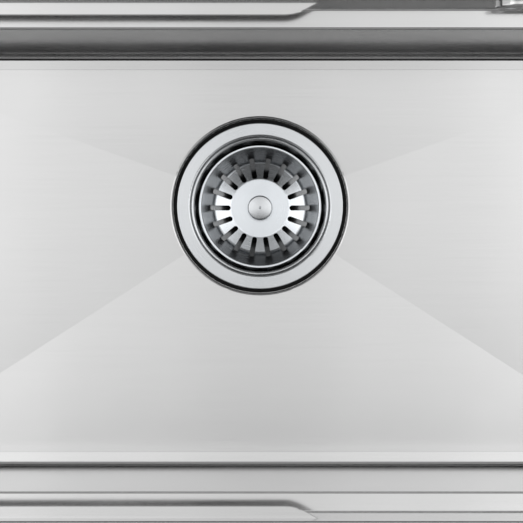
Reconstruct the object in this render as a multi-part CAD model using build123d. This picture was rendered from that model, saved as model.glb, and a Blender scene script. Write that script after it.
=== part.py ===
"""Workstation kitchen sink: folded steel bowl, two tiers of ledges, basket strainer and overflow.

Millimetres. The origin is the middle of the rim's top face, +X to the right, +Y to the rear, +Z up.
"""

import os
from math import hypot, radians, tan

from build123d import *

# Bowl, folded from one sheet
sheet = 1.2
well_length = 634.0
well_width = 328.0
well_corner = 12.0
floor_depth = 222.0  # rim top down to the outside of the floor
floor_bend = 4.4
floor_border = 10.9  # wall in to the foot of the sloping border round the floor
border_fall = 0.95
floor_fall = 4.5  # foot of the border down to the point where the creases would meet
crease_inset = 0.4
drain_offset = 44.0  # drain centre, to the rear of the bowl's middle

# Lower ledges, upper walls and rim
ledge_depth = 51.0
ledge_width = 14.0
side_ledge = 8.0
ledge_fall = 0.9  # slope of the ledges towards the bowl
ledge_edge_bend = 1.5
ledge_corner_bend = 1.0
seam_drop = 6.0  # ledge top down to the weld between bowl and deck
upper_corner = 12.0
corner_arm = 8.0  # straight sheet on each side of a corner panel
rim_width = 25.0
rim_corner = 25.0
rim_bend = 3.0

# Upper rails, welded to the front and rear upper walls
rail_depth = 16.0
rail_shelf = 8.6
rail_leg = 12.0
rail_sheet = 2.0
rail_right_end = 40.5
rail_left_end = -290.0
rail_taper = 28.0  # degrees between the tapered end and the wall
rail_blend = 28.0
rail_edge = 0.6
rail_tilt = 3.3  # degrees that the shelf falls towards the bowl

# Drain recess and seals
recess_radius = 70.0
recess_draft = 0.4
recess_bend = 1.8  # rounding where the floor turns down into the recess
seat_drop = 10.5  # outside of the floor down to the seat of the recess
recess_sectors = 8
drain_hole_radius = 58.0
seal_thickness = 2.0
seal_lip_height = 3.0
flange_radius = 66.9
gasket_radius = 69.5
gasket_thickness = 3.0
slip_washer_thickness = 1.0
fit_gap = 0.3  # between round pieces that slide over each other

# Strainer cup, heights measured down from the recess seat
cup_sheet = 1.5
mouth_radius = 55.5
mouth_bend = 2.2
shoulder_drop = 2.0
shoulder_width = 2.6
shoulder_fall = 0.3
shoulder_bend = 1.7
flange_edge = 0.8
cup_wall_drop = 48.0  # recess seat down to where the wall turns into the funnel
cup_corner = 7.0
funnel_fall = 14.0
throat_lip_radius = 26.5
throat_radius = 21.8
throat_cone = 4.0
throat_bend = 3.0
neck_length = 26.0
hub_radius = 8.5
hub_height = 6.0
hub_drop = 10.0  # bottom of the throat cone down to the top of the hub
spoke_count = 4
spoke_width = 3.0
spoke_height = 4.0
weld_depth = 0.7

# Locknut
locknut_height = 11.0
locknut_wall = 11.0
locknut_lugs = 8
locknut_lug_reach = 5.0
locknut_lug_width = 14.0

# Lift-out basket
basket_sheet = 0.8
basket_rim_drop = 13.5
basket_rim_radius = 49.6
basket_rim_width = 1.9
basket_rim_bend = 1.1
basket_depth = 39.5
basket_disc_radius = 24.0
basket_foot_radius = 38.5
basket_dish = 13.0  # degrees that the floor rises from the disc to the foot of the wall
basket_disc_bend = 6.0
basket_corner = 3.5
slot_count = 18
slot_width = 4.2
slot_inner_radius = 24.5
slot_rise = 11.0

# Knob, stopper and the post that joins them
knob_radius = 10.2
knob_height = 9.5
knob_waist = 6.0
knob_waist_height = 3.0
knob_edge = 5.8  # height of the knob's upright edge, under its crown
knob_round = 1.2
knob_crown_sag = 0.16
knob_dimple = 1.0
post_radius = 3.0
bolted_gap = 0.2  # between a post or screw and the fixed pieces threaded on it
bush_gap = 0.1
stopper_radius = 25.0
stopper_top_radius = 15.0
stopper_seat_width = 2.4
stopper_shoulder = 6.5
washer_radius = 10.0
washer_thickness = 1.2
nut_across_flats = 10.0
nut_height = 4.0
bush_radius = 4.7
bush_length = 13.0
bush_waist = 0.5
bush_slit = 1.0
bush_slit_height = 8.0
bush_end_play = 0.3
post_head_radius = 4.2
post_head_height = 1.5

# Outlet
outlet_gasket_thickness = 2.5
tailpiece_radius = 20.5
tailpiece_bore = 17.2
tailpiece_flange = 2.5
tailpiece_length = 40.0
outlet_radius = 19.0  # plain end that the trap slips over
outlet_length = 28.0
coupling_wall = 5.5
coupling_height = 26.0
coupling_lip = 3.0
coupling_ribs = 12
coupling_rib_radius = 2.0
spigot_radius = 9.0
spigot_wall = 1.6
spigot_length = 30.0
spigot_drop = 26.0  # tailpiece top down to the branch
barb_height = 1.0
barb_pitch = 5.0
barb_count = 3

# Overflow
overflow_from_side = 122.0  # middle of the overflow, in from the right upper wall
overflow_drop = 21.0
cover_length = 80.0
cover_height = 30.0
cover_stand_off = 3.2
cover_sheet = 1.2
cover_slots = 5
cover_slot_width = 4.5
cover_slot_height = 16.0
cover_slot_pitch = 9.0
overflow_hole_length = 72.0
overflow_hole_height = 18.0
screw_spacing = 58.0
screw_radius = 2.0
screw_head_radius = 3.8
screw_head_height = 1.8
screw_length = 20.0
overflow_gasket_thickness = 2.0
housing_length = 88.0
housing_height = 32.0
housing_depth = 21.0
housing_wall = 2.0
boss_radius = 4.2
housing_spigot_length = 30.0

# Sound pads
pad_thickness = 3.0
pad_corner = 12.0
pad_edge_margin = 22.0
pad_drain_radius = 92.0
front_pad_length = 460.0
side_pad_length = 220.0
wall_pad_height = 96.0

# Rim clips
clip_spacing = 285.0
clip_width = 20.0
clip_sheet = 2.5
clip_toe = 12.0
clip_reach = 24.0
clip_slot_length = 12.0
stud_stand_off = 11.0
stud_radius = 3.0
stud_drop = 22.0
anchor_radius = 4.0  # end of the stud that is set in the worktop
anchor_rise = 12.0
clip_corner = 4.0
wing_nut_radius = 6.0
wing_nut_height = 8.0
wing_reach = 6.0  # stud axis out to the root of a wing
wing_length = 7.0
wing_width = 7.0
wing_thickness = 2.0

# Places that follow from the sizes above
upper_length = well_length + 2 * side_ledge
upper_width = well_width + 2 * ledge_width
rim_length = upper_length + 2 * rim_width
rim_depth = upper_width + 2 * rim_width
floor_z = -floor_depth
ledge_z = -ledge_depth
seam_z = ledge_z - seam_drop
seat_z = floor_z - seat_drop
crease_length = well_length - 2 * (floor_border + crease_inset)
crease_width = well_width - 2 * (floor_border + crease_inset)
crease_z = floor_z - border_fall
drain = Pos(0, drain_offset, seat_z)
cup_radius = mouth_radius + cup_sheet
cup_wall_radius = mouth_radius - shoulder_width
thread_radius = cup_wall_radius + cup_sheet
neck_radius = throat_radius + cup_sheet
throat_lip_z = -(cup_wall_drop + funnel_fall)
throat_z = throat_lip_z - throat_cone
neck_z = throat_z - neck_length
hub_top = throat_z - hub_drop
hub_bore = bush_radius + fit_gap
basket_floor_z = -(basket_rim_drop + basket_depth)
post_bore = post_radius + bolted_gap
throat_slope = throat_cone / (throat_lip_radius - throat_radius)
stopper_top = basket_floor_z - basket_sheet
washer_top = throat_lip_z - (throat_lip_radius - stopper_radius + stopper_seat_width) * throat_slope
washer_top += fit_gap * hypot(1, throat_slope)
nut_top = washer_top - washer_thickness
bush_top = nut_top - nut_height - bush_end_play
head_top = bush_top - bush_length - bush_end_play
tailpiece_top = neck_z - outlet_gasket_thickness
upper_wall = upper_width / 2
overflow_x = upper_length / 2 - overflow_from_side
overflow = Plane(origin=(overflow_x, upper_wall, -overflow_drop), x_dir=(1, 0, 0), z_dir=(0, -1, 0))
gasket_face = -sheet - overflow_gasket_thickness


def rounded_prism(length, width, corner, low, high):
    """Upright prism on a rectangle with round corners, between two heights."""
    return Pos(0, 0, low) * extrude(RectangleRounded(length, width, corner), high - low)


def sheet_ring(points, bends, thickness, side):
    """Round pressing: a folded line of sheet, given by radius and height, turned about Z."""
    fold = FilletPolyline(*points, radius=bends) if bends else Polyline(*points)
    band = offset(fold, amount=thickness, side=side, closed=True)
    return revolve(Plane.XZ * make_face(band), Axis.Z)


def turned(points):
    """Solid turned about Z from an outline of radii and heights."""
    return revolve(Plane.XZ * make_face(Polyline(*points, close=True)), Axis.Z)


def rod(radius, low, high):
    """Plain round rod between two heights."""
    return Pos(0, 0, low) * extrude(Circle(radius), high - low)


def ring(inner, outer, low, high):
    """Plain ring between two radii and two heights."""
    return Pos(0, 0, low) * extrude(Circle(outer) - Circle(inner), high - low)


def outline_edges(solid, height, length, width, corner):
    """Edges of a solid at one height that lie on a rectangle with round corners."""
    found = []
    for edge in solid.edges():
        box = edge.bounding_box()
        if abs(box.min.Z - height) > 0.001 or abs(box.max.Z - height) > 0.001:
            continue
        middle = edge @ 0.5
        x = abs(middle.X) - length / 2 + corner
        y = abs(middle.Y) - width / 2 + corner
        distance = hypot(max(x, 0), max(y, 0)) + min(max(x, y), 0) - corner
        if abs(distance) < 0.01:
            found.append(edge)
    return found


def creased_floor(top, bottom):
    """Shallow four-sided pyramid, hanging point down with its point over the drain."""
    x = crease_length / 2
    y = crease_width / 2
    corners = [(-x, -y, top), (x, -y, top), (x, y, top), (-x, y, top)]
    point = (0, drain_offset, bottom)
    faces = [Face(Wire.make_polygon(corners))]
    for i in range(4):
        faces.append(Face(Wire.make_polygon([corners[i], corners[(i + 1) % 4], point])))
    return Solid(Shell(faces))


def bowl_form(grow):
    """Inside of the bowl, grown on all sides by one thickness."""
    low = floor_z - grow
    foot = crease_z - grow
    length = well_length + 2 * grow
    width = well_width + 2 * grow
    corner = well_corner + grow
    well = rounded_prism(length, width, corner, low, seam_z)
    border = RectangleRounded(length - 2 * floor_border, width - 2 * floor_border, corner - floor_border)
    well += loft([Pos(0, 0, low) * RectangleRounded(length, width, corner), Pos(0, 0, foot) * border], ruled=True)
    well = fillet(outline_edges(well, low, length, width, corner), floor_bend + grow)
    well += creased_floor(foot, foot - floor_fall)
    recess = Cone(
        recess_radius + grow,
        recess_radius + grow + recess_draft,
        seat_drop,
        align=(Align.CENTER, Align.CENTER, Align.MIN),
    )
    form = well + Pos(0, drain_offset, seat_z - grow) * recess
    turned_down = [
        edge
        for edge in form.edges().filter_by(GeomType.ELLIPSE)
        if abs(hypot((edge @ 0.5).X, (edge @ 0.5).Y - drain_offset) - recess_radius - grow) < recess_bend
    ]
    return fillet(turned_down, recess_bend - grow)


def sheet_panels(frame):
    """A folded frame as four straight sides and four corners, which meet along its weld lines."""
    x = well_length / 2 - well_corner - corner_arm
    y = well_width / 2 - well_corner - corner_arm
    far = rim_length
    panels = []
    for x_low, x_high in ((-far, -x), (-x, x), (x, far)):
        for y_low, y_high in ((-far, -y), (-y, y), (y, far)):
            if x_low + x_high or y_low + y_high:
                region = Box(x_high - x_low, y_high - y_low, 2 * far)
                panels.append(frame & Pos((x_low + x_high) / 2, (y_low + y_high) / 2, 0) * region)
    return panels


def floor_panels(floor):
    """The floor as the sectors of its drain recess and the four facets between its creases."""
    dish = drain * Cylinder(recess_radius + recess_draft + recess_bend + sheet, floor_depth)
    facets = floor - dish
    x = crease_length
    y = crease_width
    front = -y - drain_offset
    rear = y - drain_offset
    ends = [(-x, front), (x, front), (x, rear), (-x, rear)]
    recess = floor & dish
    reach = 2 * recess_radius
    half = reach * tan(radians(180 / recess_sectors))
    sector = extrude(make_face(Polyline((0, 0), (reach, -half), (reach, half), close=True)), floor_depth, both=True)
    panels = [recess & drain * place * sector for place in PolarLocations(0, recess_sectors)]
    for i in range(4):
        wedge = make_face(Polyline((0, drain_offset), ends[i], ends[(i + 1) % 4], close=True))
        panels.append(facets & Pos(0, 0, 2 * floor_z) * extrude(wedge, 2 * floor_depth))
    return panels


def make_bowl():
    """Bowl sheet with the drain hole, in panels that meet along its folds, creases and corner welds."""
    bowl = bowl_form(sheet) - bowl_form(0)
    bowl -= drain * Cylinder(drain_hole_radius, 4 * sheet)
    inside_folds = rounded_prism(
        well_length - 2 * floor_bend,
        well_width - 2 * floor_bend,
        well_corner - floor_bend,
        2 * floor_z,
        seam_z,
    )
    return floor_panels(bowl & inside_folds) + sheet_panels(bowl - inside_folds)


def deck_form(grow):
    """Inside of the ledges and upper walls, grown on all sides by one thickness."""
    turn = ledge_z - grow
    edge = turn - ledge_fall
    lower = (well_length + 2 * grow, well_width + 2 * grow, well_corner + grow)
    upper = (upper_length + 2 * grow, upper_width + 2 * grow, upper_corner + grow)
    form = rounded_prism(*lower, seam_z, edge)
    form += loft([Pos(0, 0, edge) * RectangleRounded(*lower), Pos(0, 0, turn) * RectangleRounded(*upper)], ruled=True)
    form += rounded_prism(*upper, turn, 0)
    form = fillet(outline_edges(form, edge, *lower), ledge_edge_bend - grow)
    return fillet(outline_edges(form, turn, *upper), ledge_corner_bend + grow)


def make_deck():
    """Ledges, upper walls and rim in one folded frame."""
    deck = deck_form(sheet)
    deck += rounded_prism(rim_length, rim_depth, rim_corner, -sheet, 0)
    deck -= deck_form(0)
    edges = outline_edges(deck, 0, upper_length, upper_width, upper_corner)
    deck = fillet(edges, rim_bend)
    edges = outline_edges(
        deck, -sheet, upper_length + 2 * sheet, upper_width + 2 * sheet, upper_corner + sheet
    )
    return fillet(edges, rim_bend - sheet)


def make_deck_with_overflow():
    """Deck frame with the overflow hole through its rear wall: the flat rim, then the folded sides and corners."""
    hole = extrude(SlotOverall(overflow_hole_length, overflow_hole_height), 2 * sheet, both=True)
    deck = make_deck() - overflow * hole
    inside_rim = rounded_prism(
        upper_length + 2 * rim_bend, upper_width + 2 * rim_bend, upper_corner + rim_bend, 2 * seam_z, sheet
    )
    return [deck - inside_rim] + sheet_panels(deck & inside_rim)


def make_rail():
    """Angle strip on the rear upper wall: a shelf with tapered ends over a welded leg."""
    slope = tan(radians(rail_taper))
    run = rail_shelf / slope
    outline = make_face(
        Polyline(
            (rail_left_end, 0),
            (rail_right_end, 0),
            (rail_right_end - run, -rail_shelf),
            (rail_left_end + run, -rail_shelf),
            close=True,
        )
    )
    outline = fillet(outline.vertices().group_by(Axis.Y)[0], rail_blend)
    shelf = extrude(outline, -rail_sheet)
    free = [e for e in shelf.edges().group_by(Axis.Z)[-1] if (e @ 0.5).Y < -0.001]
    shelf = fillet(free, rail_edge)
    inset = rail_sheet / slope
    length = rail_right_end - rail_left_end
    middle = (rail_right_end + rail_left_end) / 2
    leg = Box(length - 2 * inset, rail_sheet, rail_leg + rail_sheet / 2, align=(Align.CENTER, Align.MAX, Align.MAX))
    wall = Box(length, rail_sheet, rail_depth, align=(Align.CENTER, Align.MIN, Align.CENTER))
    rail = Rot(rail_tilt, 0, 0) * shelf - Pos(middle, 0, 0) * wall + Pos(middle, 0, -rail_sheet / 2) * leg
    return Pos(0, upper_wall, -rail_depth) * rail


def make_cup():
    """Strainer flange and cup in one pressing, with the welded hub that guides the basket."""
    top = seal_thickness + cup_sheet
    points = [
        (flange_radius, top),
        (mouth_radius, top),
        (mouth_radius, -shoulder_drop),
        (cup_wall_radius, -shoulder_drop - shoulder_fall),
        (cup_wall_radius, -cup_wall_drop),
        (throat_lip_radius, throat_lip_z),
        (throat_radius, throat_z),
        (throat_radius, neck_z),
    ]
    bends = [mouth_bend, shoulder_bend / 2, shoulder_bend, cup_corner, throat_bend, throat_bend]
    cup = sheet_ring(points, bends, cup_sheet, Side.LEFT)
    rim = [e for e in cup.edges().group_by(Axis.Z)[-1] if e.radius > flange_radius - 0.01]
    cup = fillet(rim, flange_edge)
    hub = ring(hub_bore, hub_radius, hub_top - hub_height, hub_top)
    reach = throat_radius + weld_depth
    spoke = Box(
        reach - hub_radius + weld_depth,
        spoke_width,
        spoke_height,
        align=(Align.MAX, Align.CENTER, Align.MAX),
    )
    for place in PolarLocations(0, spoke_count, start_angle=45):
        hub += place * Pos(reach, 0, hub_top - (hub_height - spoke_height) / 2) * spoke
    return cup + hub


def make_flange_seal():
    """Seal under the flange, with a lip that shows as a ring round it."""
    outer = recess_radius - fit_gap
    lip = flange_radius + bolted_gap
    return turned(
        [
            (drain_hole_radius, 0),
            (outer, 0),
            (outer, seal_lip_height),
            (lip, seal_lip_height),
            (lip, seal_thickness),
            (drain_hole_radius, seal_thickness),
        ]
    )


def make_locknut():
    """Ring nut under the bowl, with lugs to turn it by."""
    outer = thread_radius + locknut_wall
    outline = Circle(outer)
    lug = RectangleRounded(2 * locknut_lug_reach, locknut_lug_width, locknut_lug_reach / 2)
    for place in PolarLocations(outer, locknut_lugs):
        outline += place * lug
    outline -= Circle(thread_radius + fit_gap)
    top = -sheet - gasket_thickness - slip_washer_thickness
    return Pos(0, 0, top - locknut_height) * extrude(outline, locknut_height)


def make_basket():
    """Pressed basket whose slots start on its floor, wrap round the corner and climb the wall."""
    rim_z = -basket_rim_drop
    foot_z = basket_floor_z + (basket_foot_radius - basket_disc_radius) * tan(radians(basket_dish))
    points = [
        (basket_rim_radius, rim_z),
        (basket_rim_radius - basket_rim_width, rim_z),
        (basket_foot_radius, foot_z),
        (basket_disc_radius, basket_floor_z),
        (post_bore, basket_floor_z),
    ]
    basket = sheet_ring(points, [basket_rim_bend, basket_corner, basket_disc_bend], basket_sheet, Side.LEFT)
    low = basket_floor_z - 2 * basket_sheet
    start = slot_inner_radius + slot_width / 2
    run = basket_rim_radius - start
    round_end = Pos(start, 0, low) * Cylinder(
        slot_width / 2, 6 * basket_sheet, align=(Align.CENTER, Align.CENTER, Align.MIN)
    )
    straight = Pos(start, 0, low) * Box(
        run,
        slot_width,
        basket_floor_z + slot_rise - low,
        align=(Align.MIN, Align.CENTER, Align.MIN),
    )
    round_top = Pos(start, 0, basket_floor_z + slot_rise) * Rot(0, 90, 0) * Cylinder(
        slot_width / 2, run, align=(Align.CENTER, Align.CENTER, Align.MIN)
    )
    slot = round_end + straight + round_top
    return basket - [place * slot for place in PolarLocations(0, slot_count)]


def make_knob():
    """Crowned knob on a waist, in one piece with the post that carries the stopper."""
    edge_low = basket_floor_z + knob_waist_height
    edge_high = edge_low + knob_edge
    crown = basket_floor_z + knob_height
    outline = [
        Line((0, edge_low), (knob_radius, edge_low)),
        Line((knob_radius, edge_low), (knob_radius, edge_high)),
        SagittaArc((knob_radius, edge_high), (0, crown), -knob_crown_sag),
        Line((0, crown), (0, edge_low)),
    ]
    profile = make_face(outline)
    profile = fillet(profile.vertices().group_by(Axis.X)[-1].sort_by(Axis.Y)[-1], knob_round)
    knob = revolve(Plane.XZ * profile, Axis.Z)
    knob += rod(knob_waist, basket_floor_z, edge_low)
    knob += rod(post_radius, head_top - post_head_height, basket_floor_z)
    knob += rod(post_head_radius, head_top - post_head_height, head_top)
    return knob - Pos(0, 0, crown) * Sphere(knob_dimple)


def make_stopper():
    """Rubber stopper whose cone lies along the throat of the cup."""
    shoulder = throat_lip_z - (throat_lip_radius - stopper_radius) * throat_slope
    shoulder += fit_gap * hypot(1, throat_slope)
    return turned(
        [
            (post_bore, stopper_top),
            (stopper_top_radius, stopper_top),
            (stopper_radius, stopper_top - stopper_shoulder),
            (stopper_radius, shoulder),
            (stopper_radius - stopper_seat_width, washer_top),
            (post_bore, washer_top),
        ]
    )


def make_post_nut():
    """Hexagon nut that clamps the stopper."""
    outline = RegularPolygon(nut_across_flats / 2, 6, major_radius=False) - Circle(post_bore)
    return Pos(0, 0, nut_top - nut_height) * extrude(outline, nut_height)


def make_bush():
    """Nylon bush, loose on the post, that snaps into the hub and lets the basket turn."""
    low = bush_top - bush_length
    middle = hub_top - hub_height / 2
    bush = turned(
        [
            (post_radius + bush_gap, low),
            (bush_radius, low),
            (bush_radius, middle - hub_height / 2),
            (bush_radius - bush_waist, middle),
            (bush_radius, middle + hub_height / 2),
            (bush_radius, bush_top),
            (post_radius + bush_gap, bush_top),
        ]
    )
    slit = Box(
        4 * bush_radius, bush_slit, bush_slit_height, align=(Align.CENTER, Align.CENTER, Align.MIN)
    )
    return bush - [Pos(0, 0, low) * Rot(0, 0, a) * slit for a in (0, 90)]


def hose_spigot(length):
    """Hose spigot along +Z, with barbs at its far end. Its bore is cut by the piece it joins."""
    spigot = rod(spigot_radius, 0, length)
    barb = Cone(
        spigot_radius + barb_height,
        spigot_radius,
        barb_pitch,
        align=(Align.CENTER, Align.CENTER, Align.MIN),
    )
    for i in range(barb_count):
        spigot += Pos(0, 0, length - (i + 1) * barb_pitch) * barb
    return spigot


def make_tailpiece():
    """Outlet pipe with a flange at its top and a branch for the overflow hose."""
    shoulder = tailpiece_top - tailpiece_length
    end = shoulder - outlet_length
    pipe = rod(tailpiece_radius, shoulder, tailpiece_top)
    pipe += rod(outlet_radius, end, shoulder)
    pipe += rod(neck_radius, tailpiece_top - tailpiece_flange, tailpiece_top)
    branch = Pos(0, 0, tailpiece_top - spigot_drop) * Rot(0, 90, 0)
    reach = tailpiece_radius + spigot_length
    pipe += branch * hose_spigot(reach)
    pipe -= rod(tailpiece_bore, end, tailpiece_top)
    return pipe - branch * rod(spigot_radius - spigot_wall, 0, reach)


def make_coupling_nut():
    """Ribbed nut that pulls the outlet pipe up against the cup's neck."""
    lip_top = tailpiece_top - tailpiece_flange
    low = lip_top - coupling_lip
    outer = neck_radius + coupling_wall
    outline = Circle(outer)
    for place in PolarLocations(outer, coupling_ribs):
        outline += place * Circle(coupling_rib_radius)
    nut = Pos(0, 0, low) * extrude(outline, coupling_height)
    nut -= rod(tailpiece_radius + fit_gap, low, lip_top)
    return nut - rod(neck_radius + fit_gap, lip_top, low + coupling_height)


def screw_head(grow):
    """Countersunk head, flush with the cover's face and grown on its sides."""
    head = Cone(
        screw_radius + grow,
        screw_head_radius + grow,
        screw_head_height,
        align=(Align.CENTER, Align.CENTER, Align.MAX),
    )
    return Pos(0, 0, cover_stand_off) * head


def make_overflow_cover():
    """Shallow pressed cover, round at both ends, with upright slots for the water."""
    cover = extrude(SlotOverall(cover_length, cover_height), cover_stand_off)
    cover = fillet(cover.edges().group_by(Axis.Z)[-1], cover_sheet)
    cover -= extrude(
        SlotOverall(cover_length - 2 * cover_sheet, cover_height - 2 * cover_sheet),
        cover_stand_off - cover_sheet,
    )
    slot = extrude(SlotOverall(cover_slot_height, cover_slot_width, rotation=90), cover_stand_off)
    cover -= [place * slot for place in GridLocations(cover_slot_pitch, 0, cover_slots, 1)]
    screw_hole = screw_head(bolted_gap)
    return cover - [place * screw_hole for place in GridLocations(screw_spacing, 0, 2, 1)]


def make_overflow_gasket():
    """Flat rubber ring between the wall and the overflow housing."""
    outline = SlotOverall(housing_length, housing_height)
    outline -= SlotOverall(overflow_hole_length, overflow_hole_height)
    return Pos(0, 0, gasket_face) * extrude(outline, overflow_gasket_thickness)


def make_overflow_housing():
    """Moulded box behind the wall, with screw bosses and a hose spigot at its foot."""
    back = gasket_face - housing_depth
    inner_length = housing_length - 2 * housing_wall
    inner_height = housing_height - 2 * housing_wall
    spigot = Pos(0, 0, gasket_face - housing_depth / 2) * Rot(90, 0, 0)
    spigot_end = housing_height / 2 + housing_spigot_length
    housing = Pos(0, 0, back) * extrude(SlotOverall(housing_length, housing_height), housing_depth)
    housing += spigot * hose_spigot(spigot_end)
    housing -= Pos(0, 0, back + housing_wall) * extrude(
        SlotOverall(inner_length, inner_height), housing_depth - housing_wall
    )
    housing -= spigot * rod(spigot_radius - spigot_wall, 0, spigot_end)
    boss = ring(screw_radius + bolted_gap, boss_radius, back + housing_wall, gasket_face)
    return housing + [place * boss for place in GridLocations(screw_spacing, 0, 2, 1)]


def make_overflow_screws():
    """Two countersunk screws through the cover into the bosses."""
    neck = cover_stand_off - screw_head_height
    screw = rod(screw_radius, cover_stand_off - screw_length, neck) + screw_head(0)
    return [place * screw for place in GridLocations(screw_spacing, 0, 2, 1)]


def make_floor_pad(base, along, left, right):
    """Sound pad under one facet of the floor, inset from its creases and from the drain.

    base is a point on the facet's level edge, away from the drain. left and right are the distances
    from it to the ends of that edge, measured along the given direction.
    """
    point = Vector(0, drain_offset, crease_z - sheet - floor_fall)
    base = Vector(*base, crease_z - sheet)
    towards = point - base
    plane = Plane(origin=base, x_dir=along, z_dir=Vector(*along).cross(towards))
    near = pad_edge_margin
    far = towards.length - pad_drain_radius
    near_share = 1 - near / towards.length
    far_share = 1 - far / towards.length
    outline = make_face(
        Polyline(
            (left * near_share + pad_edge_margin, near),
            (right * near_share - pad_edge_margin, near),
            (right * far_share - pad_edge_margin, far),
            (left * far_share + pad_edge_margin, far),
            close=True,
        )
    )
    return plane * extrude(fillet(outline.vertices(), pad_corner), pad_thickness)


def make_wall_pad(length, distance):
    """Sound pad on the outside of the rear wall, or of a side wall before it is turned."""
    plane = Plane(origin=(0, distance, (floor_z + seam_z) / 2), x_dir=(-1, 0, 0), z_dir=(0, 1, 0))
    return plane * extrude(RectangleRounded(length, wall_pad_height, pad_corner), pad_thickness)


def make_clip():
    """Bracket, stud and wing nut of one rim clip, with the rim's edge along X and outward along +Y."""
    low = -sheet - clip_sheet
    bracket = Pos(0, -clip_toe, low) * Box(
        clip_width, clip_toe + clip_reach, clip_sheet, align=(Align.CENTER, Align.MIN, Align.MIN)
    )
    bracket += Pos(0, clip_reach, low) * Box(
        clip_width, clip_sheet, -low, align=(Align.CENTER, Align.MAX, Align.MIN)
    )
    bracket = fillet(bracket.edges().filter_by(Axis.Z).group_by(Axis.Y)[0], clip_corner)
    slot = SlotOverall(clip_slot_length, 2 * (stud_radius + fit_gap), rotation=90)
    bracket -= Pos(0, stud_stand_off, low) * extrude(slot, clip_sheet)
    stud = rod(stud_radius, -stud_drop, 0) + rod(anchor_radius, 0, anchor_rise)
    nut_low = low - wing_nut_height
    nut = rod(wing_nut_radius, nut_low, low)
    wing = Plane.XZ * SlotCenterToCenter(wing_length, wing_width, rotation=-45)
    wing = Pos(wing_reach, 0, nut_low) * extrude(wing, wing_thickness / 2, both=True)
    nut += wing + Rot(0, 0, 180) * wing
    nut -= rod(stud_radius + bolted_gap, nut_low - wing_width, low)
    place = Pos(0, stud_stand_off, 0)
    return bracket, place * stud, place * nut


def clip_places():
    """Three clips on the front and rear edges of the rim and one on each side."""
    places = []
    for x in (-clip_spacing, 0, clip_spacing):
        places.append(Pos(x, rim_depth / 2, 0))
        places.append(Pos(x, -rim_depth / 2, 0) * Rot(0, 0, 180))
    places.append(Pos(-rim_length / 2, 0, 0) * Rot(0, 0, 90))
    places.append(Pos(rim_length / 2, 0, 0) * Rot(0, 0, -90))
    return places


def make_nodes():
    """All pieces, each under its own name and in its place."""
    half_length = crease_length / 2
    half_width = crease_width / 2
    to_front = half_width + drain_offset
    to_rear = half_width - drain_offset
    rail = make_rail()
    rear_wall_pad = make_wall_pad(front_pad_length, well_width / 2 + sheet)
    side_wall_pad = make_wall_pad(side_pad_length, well_length / 2 + sheet)
    bracket, stud, wing_nut = make_clip()
    below = -sheet - gasket_thickness
    return {
        "bowl_shell": make_bowl(),
        "deck_frame": make_deck_with_overflow(),
        "rear_rail": rail,
        "front_rail": mirror(rail, Plane.XZ),
        "floor_pad_front": make_floor_pad((0, -half_width), (-1, 0, 0), -half_length, half_length),
        "floor_pad_left": make_floor_pad((-half_length, drain_offset), (0, 1, 0), -to_front, to_rear),
        "floor_pad_right": make_floor_pad((half_length, drain_offset), (0, -1, 0), -to_rear, to_front),
        "wall_pad_rear": rear_wall_pad,
        "wall_pad_front": Rot(0, 0, 180) * rear_wall_pad,
        "wall_pad_left": Rot(0, 0, 90) * side_wall_pad,
        "wall_pad_right": Rot(0, 0, -90) * side_wall_pad,
        "strainer_cup": drain * make_cup(),
        "flange_seal": drain * make_flange_seal(),
        "under_gasket": drain * ring(drain_hole_radius, gasket_radius, below, -sheet),
        "friction_washer": drain
        * ring(cup_radius + fit_gap, gasket_radius, below - slip_washer_thickness, below),
        "locknut": drain * make_locknut(),
        "tailpiece_gasket": drain
        * ring(tailpiece_bore, neck_radius, tailpiece_top, neck_z),
        "branch_tailpiece": drain * make_tailpiece(),
        "coupling_nut": drain * make_coupling_nut(),
        "basket_shell": drain * make_basket(),
        "basket_knob": drain * make_knob(),
        "stopper": drain * make_stopper(),
        "stopper_washer": drain * ring(post_bore, washer_radius, nut_top, washer_top),
        "post_nut": drain * make_post_nut(),
        "snap_bush": drain * make_bush(),
        "overflow_cover": overflow * make_overflow_cover(),
        "overflow_gasket": overflow * make_overflow_gasket(),
        "overflow_housing": overflow * make_overflow_housing(),
        "overflow_screws": [overflow * screw for screw in make_overflow_screws()],
        "clip_brackets": [place * bracket for place in clip_places()],
        "clip_studs": [place * stud for place in clip_places()],
        "clip_wing_nuts": [place * wing_nut for place in clip_places()],
    }


os.makedirs("parts", exist_ok=True)
for name, piece in make_nodes().items():
    solids = piece if isinstance(piece, list) else [piece]
    export_step(Compound(children=solids), f"parts/{name}.step")
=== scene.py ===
"""A workstation kitchen sink, dressed for the studio: bowl, strainer, plumbing and fixings."""

import math

import bmesh
import bpy
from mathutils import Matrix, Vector


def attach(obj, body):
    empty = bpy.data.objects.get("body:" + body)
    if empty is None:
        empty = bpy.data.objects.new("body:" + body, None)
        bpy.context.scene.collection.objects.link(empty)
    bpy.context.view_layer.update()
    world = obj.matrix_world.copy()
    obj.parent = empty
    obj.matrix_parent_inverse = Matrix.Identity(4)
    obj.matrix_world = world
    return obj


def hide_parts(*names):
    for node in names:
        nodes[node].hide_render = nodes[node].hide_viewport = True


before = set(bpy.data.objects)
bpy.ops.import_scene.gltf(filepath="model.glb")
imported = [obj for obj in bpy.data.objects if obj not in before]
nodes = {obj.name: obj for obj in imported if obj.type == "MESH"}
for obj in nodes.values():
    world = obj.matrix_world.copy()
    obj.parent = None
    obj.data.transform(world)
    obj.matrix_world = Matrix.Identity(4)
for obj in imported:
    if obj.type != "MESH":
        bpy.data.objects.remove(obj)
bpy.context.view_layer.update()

MM = 0.001
DRAIN = Vector((0.0, 0.044, 0.0))      # the drain's axis, seen from above
BOWL_MIDDLE = (0.0, 0.0, -0.12)        # a point in the open middle of the bowl
UPPER_WALL = 0.178                     # inside of the front and rear upper walls, from the middle
RAIL_ENDS = (-0.290, 0.0405)
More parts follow.
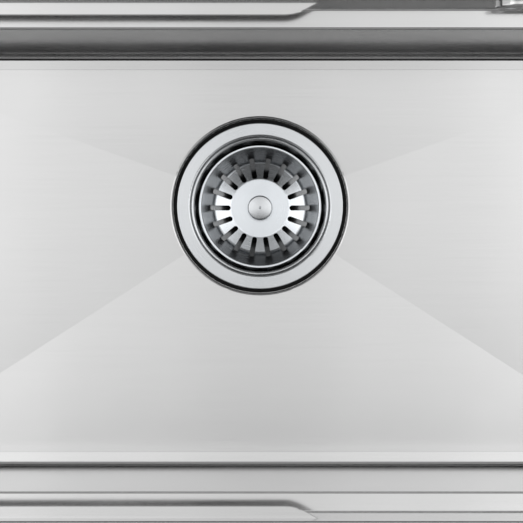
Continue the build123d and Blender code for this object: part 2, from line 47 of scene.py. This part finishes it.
RAIL_LEG_FOOT = -0.030
CUP_PAINTED_SHADE_BELOW = -0.248             # painted shade: the strainer cup is coloured darker below this height


# Shader helpers

def feed(tree, socket, value):
    """Give a socket a plain value, or link another node's output to it."""
    if isinstance(value, bpy.types.NodeSocket):
        tree.links.new(value, socket)
    else:
        socket.default_value = value


def put(tree, kind, **inputs):
    """Add a node and fill its inputs by name, an underscore standing for a space."""
    made = tree.nodes.new(kind)
    for name, value in inputs.items():
        feed(tree, made.inputs[name.replace("_", " ")], value)
    return made


def number(tree, operation, *values):
    """A Math node's result."""
    made = tree.nodes.new("ShaderNodeMath")
    made.operation = operation
    for socket, value in zip(made.inputs, values):
        feed(tree, socket, value)
    return made.outputs[0]


def vector(tree, operation, *values):
    """A Vector Math node's result."""
    made = tree.nodes.new("ShaderNodeVectorMath")
    made.operation = operation
    for socket, value in zip(made.inputs, values):
        feed(tree, socket, value)
    return made.outputs["Value" if operation in ("DOT_PRODUCT", "LENGTH") else "Vector"]


def spread(tree, value, given, wanted):
    """Carry a value from one range to another, held at the ends."""
    made = put(tree, "ShaderNodeMapRange", Value=value,
               From_Min=given[0], From_Max=given[1], To_Min=wanted[0], To_Max=wanted[1])
    return made.outputs["Result"]


def blend(tree, share, first, second):
    """Mix two numbers."""
    return number(tree, "ADD",
                  number(tree, "MULTIPLY", first, number(tree, "SUBTRACT", 1.0, share)),
                  number(tree, "MULTIPLY", second, share))


def tint(tree, share, first, second):
    """Mix two colours."""
    made = tree.nodes.new("ShaderNodeMix")
    made.data_type = "RGBA"
    feed(tree, made.inputs[0], share)
    feed(tree, made.inputs[6], first)
    feed(tree, made.inputs[7], second)
    return made.outputs[2]


def grey(level, cool=0.0):
    """A neutral colour, a little cooler where asked."""
    return (level * (1.0 - cool), level, level * (1.0 + cool), 1.0)


def object_place(tree):
    """Where a point lies on its piece."""
    return tree.nodes.new("ShaderNodeTexCoord").outputs["Object"]


def facing(tree):
    """The way the surface faces."""
    return tree.nodes.new("ShaderNodeNewGeometry").outputs["Normal"]


def axes(tree, value):
    """The X, Y and Z of a vector."""
    return put(tree, "ShaderNodeSeparateXYZ", Vector=value).outputs


def noise(tree, place, scale, **settings):
    """A noise texture's value."""
    return put(tree, "ShaderNodeTexNoise", Vector=place, Scale=scale, **settings).outputs["Fac"]


def new_group(name, inputs, outputs):
    """A shader node group with number inputs and named outputs."""
    group = bpy.data.node_groups.new(name, "ShaderNodeTree")
    for label, value in inputs.items():
        socket = group.interface.new_socket(
            label, in_out="INPUT", socket_type="NodeSocketFloat")
        socket.default_value = value
    for label in outputs:
        group.interface.new_socket(label, in_out="OUTPUT", socket_type="NodeSocketFloat")
    given = group.nodes.new("NodeGroupInput").outputs
    results = group.nodes.new("NodeGroupOutput").inputs
    return group, given, results


def place_group(tree, group, **values):
    """Put a group in a material with its own values."""
    made = tree.nodes.new("ShaderNodeGroup")
    made.node_tree = group
    for name, value in values.items():
        feed(tree, made.inputs[name.replace("_", " ")], value)
    return made.outputs


def new_finish(name, **constants):
    """A material with one Principled shader; constants go straight on its sockets."""
    material = bpy.data.materials.new(name)
    material.use_nodes = True
    tree = material.node_tree
    shader = tree.nodes["Principled BSDF"]
    for label, value in constants.items():
        shader.inputs[label.replace("_", " ")].default_value = value
    return material, tree, shader


def feed_surface(tree, shader, colour, roughness):
    """Feed the shader its colour and roughness."""
    tree.links.new(colour, shader.inputs["Base Color"])
    tree.links.new(roughness, shader.inputs["Roughness"])


def roughen(tree, shader, height, strength, distance):
    """Feed a height into the shader's normal through a Bump node."""
    bump = put(tree, "ShaderNodeBump", Height=height, Strength=strength, Distance=distance)
    tree.links.new(bump.outputs["Normal"], shader.inputs["Normal"])


# Effects shared by several finishes

def make_belt_grain():
    """Fine lines of a belt brush, along floor, ledges and long walls and across the short ones."""
    short_wall_from, upright_below = 0.7, 0.6     # by the X and the Z of the way a face turns
    band_along, band_across = 0.35, 0.12          # the broad bands' scales against the fine lines'
    group, given, results = new_group(
        "belt_grain", {"Scale along": 14.0, "Scale across": 1500.0}, ("Grain", "Band"))
    place = axes(group, object_place(group))
    faces = axes(group, facing(group))
    short_wall = number(group, "GREATER_THAN",
                        number(group, "ABSOLUTE", faces["X"]), short_wall_from)
    upright = number(group, "LESS_THAN", number(group, "ABSOLUTE", faces["Z"]), upright_below)
    along = blend(group, short_wall, place["X"], place["Y"])
    across = blend(group, upright, place["Y"], place["Z"])
    run = number(group, "MULTIPLY", along, given["Scale along"])
    scale_across = given["Scale across"]
    fine = put(group, "ShaderNodeCombineXYZ", X=run,
               Y=number(group, "MULTIPLY", across, scale_across))
    broad_scale = number(group, "MULTIPLY", scale_across, band_across)
    broad = put(group, "ShaderNodeCombineXYZ", X=number(group, "MULTIPLY", run, band_along),
                Y=number(group, "MULTIPLY", across, broad_scale))
    lines = noise(group, fine.outputs[0], 1.0, Detail=3.0, Roughness=0.65)
    bands = noise(group, broad.outputs[0], 1.0, Detail=2.0, Roughness=0.5)
    group.links.new(lines, results["Grain"])
    group.links.new(bands, results["Band"])
    return group


def make_turned_grain():
    """Fine rings left by polishing on a spindle, round the drain's axis."""
    change_round = 3.0     # how much a ring changes on its way round
    group, given, results = new_group("turned_grain", {"Scale across": 1400.0}, ("Grain",))
    from_axis = vector(group, "SUBTRACT", object_place(group), DRAIN)
    level = vector(group, "MULTIPLY", from_axis, (1.0, 1.0, 0.0))
    reach = number(group, "ADD", vector(group, "LENGTH", level), axes(group, from_axis)["Z"])
    turn = axes(group, vector(group, "NORMALIZE", level))
    spot = put(group, "ShaderNodeCombineXYZ",
               X=number(group, "MULTIPLY", reach, given["Scale across"]),
               Y=number(group, "MULTIPLY", turn["X"], change_round),
               Z=number(group, "MULTIPLY", turn["Y"], change_round))
    rings = noise(group, spot.outputs[0], 1.0, Detail=2.0, Roughness=0.6)
    group.links.new(rings, results["Grain"])
    return group


def make_handling():
    """Uneven patches of wiping, drying and handling, at the size of a palm and of a drop."""
    group, given, results = new_group(
        "handling", {"Patch scale": 9.0, "Drop scale": 120.0}, ("Patch", "Drop"))
    place = object_place(group)
    patch = noise(group, place, given["Patch scale"], Detail=3.0)
    drop = noise(group, place, given["Drop scale"], Detail=2.0)
    group.links.new(patch, results["Patch"])
    group.links.new(spread(group, drop, (0.55, 0.75), (0.0, 1.0)), results["Drop"])
    return group


def make_moulded_skin():
    """The faint texture of a spark-eroded mould, with slow waves from cooling."""
    cloud_scale = 28.0
    group, given, results = new_group(
        "moulded_skin", {"Grain scale": 1600.0}, ("Height", "Cloud"))
    place = object_place(group)
    fine = noise(group, place, given["Grain scale"], Detail=2.0)
    cloud = noise(group, place, cloud_scale, Detail=3.0)
    group.links.new(fine, results["Height"])
    group.links.new(cloud, results["Cloud"])
    return group


belt_grain = make_belt_grain()
turned_grain = make_turned_grain()
handling = make_handling()
moulded_skin = make_moulded_skin()


# Finishes

def make_satin_steel(name, coated_outside=False):
    """Brushed stainless sheet; the bowl's outside carries a grey sound coat."""
    material, tree, shader = new_finish(name, Metallic=1.0)
    grain = place_group(tree, belt_grain)
    touch = place_group(tree, handling, Patch_scale=7.0)
    steel = tint(tree, grain["Grain"], grey(0.60), grey(0.70))
    steel = tint(tree, spread(tree, grain["Band"], (0.35, 0.65), (0.0, 0.5)), steel, grey(0.66))
    roughness = number(tree, "ADD",
                       spread(tree, grain["Grain"], (0.3, 0.7), (0.11, 0.15)),
                       spread(tree, touch["Patch"], (0.35, 0.7), (0.0, 0.04)))
    height = grain["Grain"]
    if coated_outside:
        coat_roughness = 0.72
        coat_relief = 28.0     # height of the coat's pebbles against the brush lines
        pebble_scale = 700.0
        geometry = tree.nodes.new("ShaderNodeNewGeometry").outputs
        from_middle = vector(tree, "SUBTRACT", geometry["Position"], BOWL_MIDDLE)
        outward = vector(tree, "DOT_PRODUCT", geometry["True Normal"], from_middle)
        coat = number(tree, "GREATER_THAN", outward, 0.0)
        pebble = noise(tree, object_place(tree), pebble_scale, Detail=4.0, Roughness=0.6)
        steel = tint(tree, coat, steel, tint(tree, pebble, grey(0.24), grey(0.34)))
        roughness = blend(tree, coat, roughness, coat_roughness)
        height = blend(tree, coat, height, number(tree, "MULTIPLY", pebble, coat_relief))
        tree.links.new(number(tree, "SUBTRACT", 1.0, coat), shader.inputs["Metallic"])
    feed_surface(tree, shader, steel, roughness)
    roughen(tree, shader, height, strength=0.07, distance=0.00004)
    return material


def make_strainer_steel(name, dark, light, painted_shade_colour, painted_shade_below=-1.0):
    """Spun stainless, polished where it lies level above a height; upright faces, and all faces
    below that height, take a darker colour that is painted shade.
    """
    painted_shade_fade = 0.01     # the height over which the painted shade fades out
    material, tree, shader = new_finish(name, Metallic=1.0, Anisotropic=0.3)
    rings = place_group(tree, turned_grain)
    touch = place_group(tree, handling, Patch_scale=30.0)
    steel = tint(tree, rings["Grain"], dark, light)
    # painted shade on upright faces: only faces that lie level keep the polished colour
    level = spread(tree, number(tree, "ABSOLUTE", axes(tree, facing(tree))["Z"]),
                   (0.55, 0.9), (0.0, 1.0))
    # painted shade low down: faces below the height lose the polished colour
    above_painted_shade = spread(tree, axes(tree, object_place(tree))["Z"],
                     (painted_shade_below - painted_shade_fade, painted_shade_below), (0.0, 1.0))
    steel = tint(tree, number(tree, "MULTIPLY", level, above_painted_shade), painted_shade_colour, steel)
    roughness = number(tree, "ADD",
                       spread(tree, rings["Grain"], (0.3, 0.7), (0.19, 0.25)),
                       spread(tree, touch["Patch"], (0.4, 0.7), (0.0, 0.05)))
    place = tree.nodes.new("ShaderNodeNewGeometry").outputs["Position"]
    out = vector(tree, "MULTIPLY", vector(tree, "SUBTRACT", place, DRAIN), (1.0, 1.0, 0.0))
    tree.links.new(vector(tree, "NORMALIZE", out), shader.inputs["Tangent"])
    feed_surface(tree, shader, steel, roughness)
    roughen(tree, shader, rings["Grain"], strength=0.2, distance=0.00003)
    return material


def make_zinc(name):
    """Zinc plate with a faint blue passivation bloom."""
    spangle_scale = 420.0
    stain = (0.40, 0.39, 0.36, 1.0)
    material, tree, shader = new_finish(name, Metallic=1.0)
    spangle = put(tree, "ShaderNodeTexVoronoi", Vector=object_place(tree), Scale=spangle_scale)
    level = put(tree, "ShaderNodeSeparateColor", Color=spangle.outputs["Color"]).outputs[0]
    touch = place_group(tree, handling, Patch_scale=60.0, Drop_scale=400.0)
    plate = tint(tree, level, grey(0.50, 0.03), grey(0.62, 0.01))
    plate = tint(tree, spread(tree, touch["Drop"], (0.0, 1.0), (0.0, 0.5)), plate, stain)
    roughness = spread(tree, touch["Patch"], (0.3, 0.7), (0.30, 0.46))
    feed_surface(tree, shader, plate, roughness)
    roughen(tree, shader, level, strength=0.15, distance=0.00005)
    return material


def make_rubber(name, dark, light, dull, bump):
    """Moulded black rubber with a dusty bloom."""
    swing = 0.08     # of the roughness, either way
    material, tree, shader = new_finish(name, Specular_IOR_Level=0.2)
    skin = place_group(tree, moulded_skin, Grain_scale=1300.0)
    colour = tint(tree, spread(tree, skin["Cloud"], (0.3, 0.7), (0.0, 1.0)), dark, light)
    roughness = spread(tree, skin["Height"], (0.3, 0.7), (dull - swing, dull + swing))
    feed_surface(tree, shader, colour, roughness)
    roughen(tree, shader, skin["Height"], strength=bump, distance=0.0002)
    return material


def make_sound_pad(name):
    """Pressed damping sheet with a pebbled face."""
    pebble_scale = 260.0
    material, tree, shader = new_finish(name, Specular_IOR_Level=0.3)
    pebble = put(tree, "ShaderNodeTexVoronoi", Vector=object_place(tree),
                 Scale=pebble_scale).outputs["Distance"]
    skin = place_group(tree, moulded_skin, Grain_scale=900.0)
    colour = tint(tree, pebble, grey(0.105, 0.03), grey(0.045, 0.03))
    dust = spread(tree, skin["Cloud"], (0.35, 0.7), (0.0, 0.5))
    colour = tint(tree, dust, colour, grey(0.13))
    roughness = spread(tree, skin["Height"], (0.3, 0.7), (0.68, 0.86))
    feed_surface(tree, shader, colour, roughness)
    roughen(tree, shader, number(tree, "SUBTRACT", 1.0, pebble), strength=0.6, distance=0.0006)
    return material


def make_plastic(name, shade, deep, dull):
    """Injection-moulded plastic, lightly soiled."""
    soil, soil_share = (0.45, 0.43, 0.38, 1.0), 0.12
    smoother, rougher = 0.06, 0.08
    material, tree, shader = new_finish(name, Specular_IOR_Level=0.5)
    skin = place_group(tree, moulded_skin)
    touch = place_group(tree, handling, Patch_scale=25.0, Drop_scale=300.0)
    colour = tint(tree, spread(tree, skin["Cloud"], (0.3, 0.7), (0.0, 1.0)), shade, deep)
    colour = tint(tree, number(tree, "MULTIPLY", touch["Drop"], soil_share), colour, soil)
    roughness = spread(tree, touch["Patch"], (0.3, 0.7), (dull - smoother, dull + rougher))
    feed_surface(tree, shader, colour, roughness)
    roughen(tree, shader, skin["Height"], strength=0.2, distance=0.00012)
    return material


def make_weld_steel(name):
    """Weld metal, tinted straw and blue by the heat, with specks of oxide."""
    straw, blue = (0.56, 0.50, 0.40, 1.0), (0.44, 0.46, 0.52, 1.0)
    oxide, oxide_share = (0.24, 0.22, 0.20, 1.0), 0.5
    material, tree, shader = new_finish(name, Metallic=1.0)
    touch = place_group(tree, handling, Patch_scale=130.0, Drop_scale=500.0)
    metal = tint(tree, spread(tree, touch["Patch"], (0.32, 0.68), (0.0, 1.0)), straw, blue)
    metal = tint(tree, number(tree, "MULTIPLY", touch["Drop"], oxide_share), metal, oxide)
    roughness = spread(tree, touch["Patch"], (0.3, 0.7), (0.30, 0.48))
    feed_surface(tree, shader, metal, roughness)
    roughen(tree, shader, touch["Drop"], strength=0.3, distance=0.0001)
    return material


bowl_steel = make_satin_steel("bowl_steel", coated_outside=True)
deck_steel = make_satin_steel("deck_steel")
strainer_steel = make_strainer_steel(
    "strainer_steel", dark=grey(0.65, 0.02), light=grey(0.77, 0.03), painted_shade_colour=grey(0.68, 0.02))
# painted shade: the cup and the basket take a much darker colour on upright faces, and the cup
# also below a height
cup_steel = make_strainer_steel(
    "cup_steel", dark=grey(0.65, 0.02), light=grey(0.77, 0.03), painted_shade_colour=grey(0.42, 0.02),
    painted_shade_below=CUP_PAINTED_SHADE_BELOW)
basket_steel = make_strainer_steel(
    "basket_steel", dark=grey(0.76, 0.03), light=grey(0.90, 0.05), painted_shade_colour=grey(0.45, 0.02))
weld_steel = make_weld_steel("weld_steel")
zinc = make_zinc("zinc_plate")
seal_rubber = make_rubber("seal_rubber", grey(0.003), grey(0.006), dull=0.7, bump=0.2)
stopper_rubber = make_rubber("stopper_rubber", grey(0.012), grey(0.022), dull=0.55, bump=0.25)
pad_sheet = make_sound_pad("pad_sheet")
waste_plastic = make_plastic(
    "waste_plastic", (0.80, 0.80, 0.775, 1.0), (0.74, 0.74, 0.71, 1.0), dull=0.38)
slip_plastic = make_plastic(
    "slip_plastic", (0.70, 0.67, 0.58, 1.0), (0.62, 0.59, 0.50, 1.0), dull=0.5)
nylon = make_plastic(
    "bush_nylon", (0.86, 0.85, 0.80, 1.0), (0.80, 0.78, 0.72, 1.0), dull=0.34)

finish_of = {
    "bowl_shell": bowl_steel,
    "deck_frame": deck_steel, "rear_rail": deck_steel, "front_rail": deck_steel,
    "floor_pad_front": pad_sheet, "floor_pad_left": pad_sheet, "floor_pad_right": pad_sheet,
    "wall_pad_rear": pad_sheet, "wall_pad_front": pad_sheet,
    "wall_pad_left": pad_sheet, "wall_pad_right": pad_sheet,
    "strainer_cup": cup_steel, "basket_shell": basket_steel, "basket_knob": strainer_steel,
    "stopper_washer": strainer_steel, "post_nut": strainer_steel,
    "overflow_cover": deck_steel, "overflow_screws": strainer_steel,
    "flange_seal": seal_rubber, "under_gasket": seal_rubber, "tailpiece_gasket": seal_rubber,
    "overflow_gasket": seal_rubber, "stopper": stopper_rubber,
    "friction_washer": slip_plastic, "snap_bush": nylon,
    "locknut": waste_plastic, "branch_tailpiece": waste_plastic, "coupling_nut": waste_plastic,
    "overflow_housing": waste_plastic,
    "clip_brackets": zinc, "clip_studs": zinc, "clip_wing_nuts": zinc,
}
for node_name, finish in finish_of.items():
    nodes[node_name].material_slots[0].material = finish


# Pieces added to the nodes: welds, threads and screws

WELD_CREASE = 60.0      # degrees between faces from which an edge stays sharp
THREAD_CREASE = 30.0
BEAD_SIDES = 8


def finish_piece(name, form, finish, crease_angle):
    """Turn a built form into a shaded piece that rides with the sink."""
    bmesh.ops.recalc_face_normals(form, faces=form.faces)
    mesh = bpy.data.meshes.new(name)
    form.to_mesh(mesh)
    form.free()
    mesh.polygons.foreach_set("use_smooth", [True] * len(mesh.polygons))
    mesh.set_sharp_from_angle(angle=math.radians(crease_angle))
    mesh.materials.append(finish)
    piece = bpy.data.objects.new(name, mesh)
    bpy.context.scene.collection.objects.link(piece)
    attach(piece, "sink")
    return piece


def skin(form, near, far):
    """Join two rings of points with a band of faces."""
    for k in range(len(near)):
        after = (k + 1) % len(near)
        form.faces.new((near[k], near[after], far[after], far[k]))


def join_rows(form, rows, closed):
    """Skin rows of points into a tube, with its ends capped or joined."""
    for near, far in zip(rows, rows[1:]):
        skin(form, near, far)
    if closed:
        skin(form, rows[-1], rows[0])
    else:
        form.faces.new(rows[0][::-1])
        form.faces.new(rows[-1])


def add_bead(form, centres, outs, radii, closed=False):
    """A weld bead along a line: outs are level directions away from the wall."""
    up = Vector((0.0, 0.0, 1.0))
    rows = []
    for centre, out, radius in zip(centres, outs, radii):
        row = []
        for k in range(BEAD_SIDES):
            angle = math.tau * k / BEAD_SIDES
            spoke = out * math.cos(angle) + up * math.sin(angle)
            row.append(form.verts.new(centre + spoke * radius))
        rows.append(row)
    join_rows(form, rows, closed)


def ripple(run, pitch, depth):
    """Scale of a bead's radius: each drop of metal laps over the one before."""
    share = run / pitch % 1.0
    return 1.0 - depth * (share * share)


def make_seam_weld():
    """Bead round the outside of the seam between the bowl and the deck frame."""
    half_length, half_width, corner, height = 318.2 * MM, 165.2 * MM, 13.2 * MM, -57.0 * MM
    radius, step = 1.25 * MM, 1.1 * MM
    drop_pitch, drop_depth = 3.3 * MM, 0.22
    straight_x, straight_y = half_length - corner, half_width - corner
    quarter = corner * math.pi / 2
    centres, outs = [], []
    # each side's first corner centre, the way it faces in degrees, and its length
    sides = ((straight_x, -straight_y, 0.0, 2 * straight_y),
             (straight_x, straight_y, 90.0, 2 * straight_x),
             (-straight_x, straight_y, 180.0, 2 * straight_y),
             (-straight_x, -straight_y, 270.0, 2 * straight_x))
    for x, y, heading, length in sides:
        start_turn = math.radians(heading)
        out = Vector((math.cos(start_turn), math.sin(start_turn), 0.0))
        along = Vector((-out.y, out.x, 0.0))
        start = Vector((x, y, height)) + out * corner
        for i in range(int(length / step)):
            centres.append(start + along * (i * step))
            outs.append(out)
        pivot = Vector((x, y, height)) + along * length
        for i in range(int(quarter / step) + 1):
            turn = start_turn + i * step / corner
            out_here = Vector((math.cos(turn), math.sin(turn), 0.0))
            centres.append(pivot + out_here * corner)
            outs.append(out_here)
    radii = [radius * ripple(i * step, drop_pitch, drop_depth) for i in range(len(centres))]
    form = bmesh.new()
    add_bead(form, centres, outs, radii, closed=True)
    finish_piece("seam_weld", form, weld_steel, WELD_CREASE)


def make_rail_tacks():
    """Short welds along the foot of each rail's leg."""
    count, length, radius, step = 9, 11.0 * MM, 1.3 * MM, 0.7 * MM
    drop_pitch, drop_depth = 2.2 * MM, 0.2
    off_wall = 0.7 * MM
    thinnest = 0.02     # square of the radius at the very ends, as a share
    first, last = RAIL_ENDS
    points = int(length / step)
    for side, label in ((1.0, "rear"), (-1.0, "front")):
        form = bmesh.new()
        for n in range(count):
            middle = first + (last - first) * (n + 0.5) / count
            centres, radii = [], []
            for i in range(points + 1):
                share = i / points
                centres.append(Vector((middle + length * (share - 0.5),
                                       side * (UPPER_WALL - off_wall), RAIL_LEG_FOOT)))
                swell = math.sqrt(max(thinnest, 1.0 - (2.0 * share - 1.0) ** 4))
                radii.append(radius * swell * ripple(share * length, drop_pitch, drop_depth))
            add_bead(form, centres, [Vector((0.0, -side, 0.0))] * len(centres), radii)
        finish_piece(f"rail_tacks_{label}", form, weld_steel, WELD_CREASE)


def add_thread(form, x, y, radius, low, high, pitch, crest, steps):
    """A ridge that climbs round a rod and runs out at both ends."""
    root = -0.15 * MM                       # sunk a little into the rod
    root_half, crest_half = 0.46, 0.12      # half widths, as shares of the pitch
    lowest = 0.05                           # share of the crest at the very ends
    count = int((high - low) / pitch * steps)
    fade = steps * 0.3
    rows = []
    for i in range(count + 1):
        turn = math.tau * i / steps
        height = low + pitch * i / steps
        stand = crest * max(lowest, min(1.0, i / fade, (count - i) / fade))
        row = []
        for out, rise in ((root, -root_half), (stand, -crest_half),
                          (stand, crest_half), (root, root_half)):
            reach = radius + out
            row.append(form.verts.new((x + reach * math.cos(turn), y + reach * math.sin(turn),
                                       height + rise * pitch)))
        rows.append(row)
    join_rows(form, rows, closed=False)


def make_threads(name, finish, slot, rods, **sizes):
    """The same thread on each of some rods, as one piece."""
    form = bmesh.new()
    for x, y in rods:
        add_thread(form, x, y, **sizes)
    finish_piece(name, form, finish, THREAD_CREASE)


def make_cover_screws():
    """Countersunk screws of the overflow cover, each with a cross recess."""
    places = (174.0 * MM, 232.0 * MM)
    face_y, height = 174.8 * MM, -21.0 * MM
    sides = 40
    profile = ((3.55, 0.0), (3.8, 0.12), (2.0, 1.8), (2.0, 19.2), (1.4, 20.0))  # radius, depth, mm
    arm, half = 2.3 * MM, 0.5 * MM
    recess_depth, recess_taper = 1.3 * MM, 0.55
    cross = [(arm, -half), (arm, half), (half, half), (half, arm),
             (-half, arm), (-half, half), (-arm, half), (-arm, -half),
             (-half, -half), (-half, -arm), (half, -arm), (half, -half)]
    form = bmesh.new()
    for x in places:
        rings = []
        for radius, depth in profile:
            ring = []
            for k in range(sides):
                angle = math.tau * k / sides
                ring.append(form.verts.new((x + radius * MM * math.cos(angle),
                                            face_y + depth * MM,
                                            height + radius * MM * math.sin(angle))))
            rings.append(ring)
        for near, far in zip(rings, rings[1:]):
            skin(form, near, far)
        form.faces.new(rings[-1])
        mouth = [form.verts.new((x + u, face_y, height + w)) for u, w in cross]
        floor = [form.verts.new((x + u * recess_taper, face_y + recess_depth,
                                 height + w * recess_taper)) for u, w in cross]
        edges = []
        for loop in (rings[0], mouth):
            for k in range(len(loop)):
                pair = (loop[k], loop[(k + 1) % len(loop)])
                edges.append(form.edges.get(pair) or form.edges.new(pair))
        bmesh.ops.triangle_fill(form, use_beauty=True, edges=edges)
        skin(form, mouth, floor)
        form.faces.new(floor)
    screws = finish_piece(
        "cover_screws", form, strainer_steel, THREAD_CREASE)
    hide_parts("overflow_screws")


make_seam_weld()
make_rail_tacks()

# Threads where they show: under the locknut, over the coupling nut and low on the studs
drain_axis = [(DRAIN.x, DRAIN.y)]
stud_axes = [(x * MM, y * MM) for x in (-285.0, 0.0, 285.0) for y in (-214.0, 214.0)]
stud_axes += [(-361.0 * MM, 0.0), (361.0 * MM, 0.0)]
make_threads("cup_thread", cup_steel, "strainer_stainless", drain_axis,
             radius=54.4 * MM, low=-271.0 * MM, high=-250.2 * MM,
             pitch=2.6 * MM, crest=0.55 * MM, steps=96)
make_threads("neck_thread", cup_steel, "strainer_stainless", drain_axis,
             radius=23.3 * MM, low=-305.2 * MM, high=-301.0 * MM,
             pitch=2.1 * MM, crest=0.45 * MM, steps=64)
make_threads("stud_threads", zinc, "zinc_plated_steel", stud_axes,
             radius=3.0 * MM, low=-21.2 * MM, high=-12.6 * MM,
             pitch=1.0 * MM, crest=0.16 * MM, steps=20)
make_cover_screws()


# Studio

FLOOR_HEIGHT = -0.40          # just under the waste outlet
FLOOR_HALF = 6.0

# A row of level softboxes overhead, brightest at its ends: name, middle, width and radiance
SOFTBOXES = (
    ("left", -1.02, 1.20, 0.96), ("left_inner", -0.28, 0.28, 0.78), ("middle", 0.0, 0.28, 0.66),
    ("right_inner", 0.28, 0.28, 0.78), ("right", 1.02, 1.20, 0.96),
)
SOFTBOX_DEPTH = 1.16
SOFTBOX_BACK = 0.22           # how far the row's middle lies behind the sink's
SOFTBOX_HEIGHT = 2.1

# The room from front to rear, by the Y of the direction: pale, but for a dim strip overhead
ROOM_FRONT, ROOM_REAR = 0.36, 0.40
ROOM_STOPS = ((-0.84, 0.36), (-0.74, 0.02), (-0.14, 0.02), (0.02, 0.30))
LOW_WALL = (0.30, 0.45)       # by the Z of the direction: white below the first
END_WALL = (0.28, 0.60)       # by the X of the direction: white beyond the second

CAMERA_PLACE = (0.0012, -0.0006, 1.278)
CAMERA_LENS = 129.06
CAMERA_SENSOR = 36.0


def make_studio_floor():
    """A wide pale floor with a faint roller texture."""
    material, tree, shader = new_finish("studio_floor", Roughness=0.75)
    cloud = noise(tree, object_place(tree), 3.0, Detail=4.0)
    tree.links.new(tint(tree, cloud, grey(0.80), grey(0.84)), shader.inputs["Base Color"])
    mesh = bpy.data.meshes.new("studio_floor")
    form = bmesh.new()
    bmesh.ops.create_grid(form, x_segments=8, y_segments=8, size=FLOOR_HALF)
    form.to_mesh(mesh)
    form.free()
    floor = bpy.data.objects.new("studio_floor", mesh)
    floor.location.z = FLOOR_HEIGHT
    mesh.materials.append(material)
    bpy.context.scene.collection.objects.link(floor)


def make_room():
    """Studio walls and ceiling, with a dim strip overhead a little to the front of the sink."""
    world = bpy.data.worlds.new("studio")
    world.use_nodes = True
    tree = world.node_tree
    direction = axes(tree, tree.nodes.new("ShaderNodeTexCoord").outputs["Generated"])
    strip = put(tree, "ShaderNodeValToRGB",
                Fac=spread(tree, direction["Y"], (-1.0, 1.0), (0.0, 1.0)))
    stops = strip.color_ramp.elements
    for spot, level in ROOM_STOPS:
        stops.new((spot + 1.0) / 2.0).color = grey(level)
    stops[0].color = grey(ROOM_FRONT)
    stops[-1].color = grey(ROOM_REAR)
    low_wall = spread(tree, direction["Z"], LOW_WALL, (1.0, 0.0))
    end_wall = spread(tree, number(tree, "ABSOLUTE", direction["X"]), END_WALL, (0.0, 1.0))
    white = number(tree, "MAXIMUM", low_wall, end_wall)
    shade = tint(tree, white, strip.outputs["Color"], grey(1.0))
    tree.links.new(shade, tree.nodes["Background"].inputs["Color"])
    bpy.context.scene.world = world


def add_softbox(label, across, width, radiance):
    """A rectangular softbox of an even brightness, facing straight down."""
    name = f"{label}_softbox"
    lamp = bpy.data.lights.new(name, "AREA")
    lamp.shape = "RECTANGLE"
    lamp.size, lamp.size_y = width, SOFTBOX_DEPTH
    lamp.energy = radiance * math.pi * width * SOFTBOX_DEPTH
    box = bpy.data.objects.new(name, lamp)
    box.location = (across, SOFTBOX_BACK, SOFTBOX_HEIGHT)
    bpy.context.scene.collection.objects.link(box)


def set_camera():
    """A camera straight above the sink, as in the photo."""
    camera = bpy.data.cameras.new("above")
    camera.sensor_width = CAMERA_SENSOR
    camera.lens = CAMERA_LENS
    camera.clip_start = 0.05
    eye = bpy.data.objects.new("above", camera)
    eye.location = CAMERA_PLACE
    bpy.context.scene.collection.objects.link(eye)
    bpy.context.scene.camera = eye


make_studio_floor()
make_room()
for softbox in SOFTBOXES:
    add_softbox(*softbox)
set_camera()
bpy.context.scene.view_settings.view_transform = "Standard"
